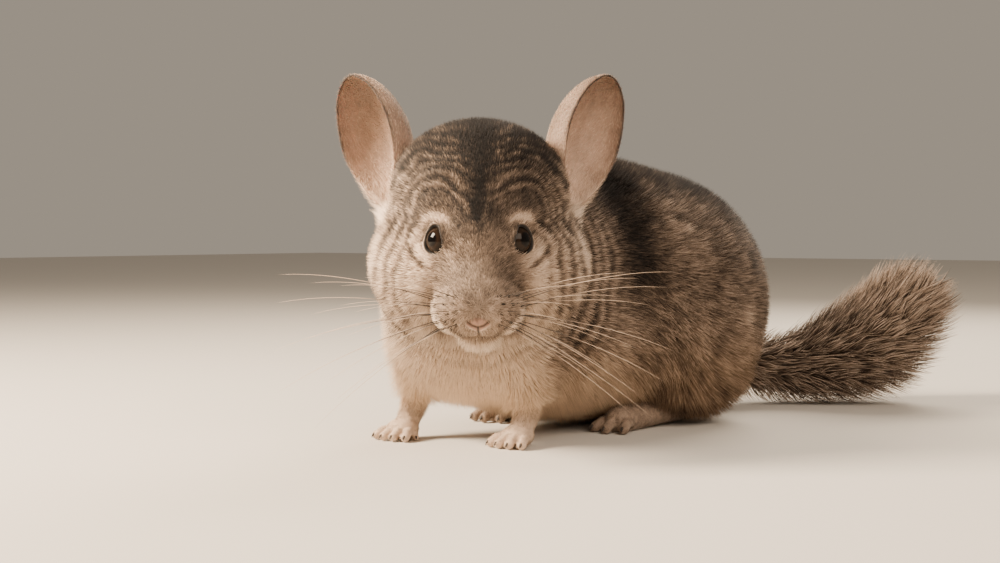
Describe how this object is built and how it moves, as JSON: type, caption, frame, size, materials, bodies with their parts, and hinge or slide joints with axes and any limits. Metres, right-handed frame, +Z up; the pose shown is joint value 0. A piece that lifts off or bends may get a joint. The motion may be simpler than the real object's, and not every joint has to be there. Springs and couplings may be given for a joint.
{
  "type": "standing chinchilla figure",
  "caption": "Life-size grey long-tailed chinchilla standing on all fours, head turned to its left, with upright rounded ears, long whiskers and a bushy tail on the ground.",
  "frame": {"origin": "middle of the underside of the whole animal's box, on the floor", "axes": "+Z up; the body faces -Y and its own left side is towards +X; the head is turned to its left"},
  "size_m": [0.1798, 0.3816, 0.1536],
  "materials": {
    "back_fur": "dense soft matt fur, slate grey with pale ticking",
    "face_fur": "short dense matt fur, banded grey and fawn",
    "belly_fur": "soft matt cream fur",
    "tail_hair": "long coarse hair, dark at its base and pale at its tips",
    "ear_skin": "thin pinkish skin with a down of fine pale hair",
    "nose_skin": "soft matt pinkish skin",
    "paw_skin": "pale skin with very short hair and small dark nails",
    "eye": "black, wet gloss"
  },
  "bodies": {
    "root": {"torso": "back_fur", "neck": "back_fur", "head": "face_fur", "muzzle": "face_fur", "nose": "nose_skin", "lower_jaw": "belly_fur", "tail_root": "tail_hair", "tail_middle": "tail_hair", "tail_tip": "tail_hair", "eye_left": "eye", "ear_left": "ear_skin", "foreleg_left": "belly_fur", "forepaw_left": "paw_skin", "haunch_left": "back_fur", "hindfoot_left": "paw_skin", "eye_right": "eye", "ear_right": "ear_skin", "foreleg_right": "belly_fur", "forepaw_right": "paw_skin", "haunch_right": "back_fur", "hindfoot_right": "paw_skin"}
  },
  "joints": []
}
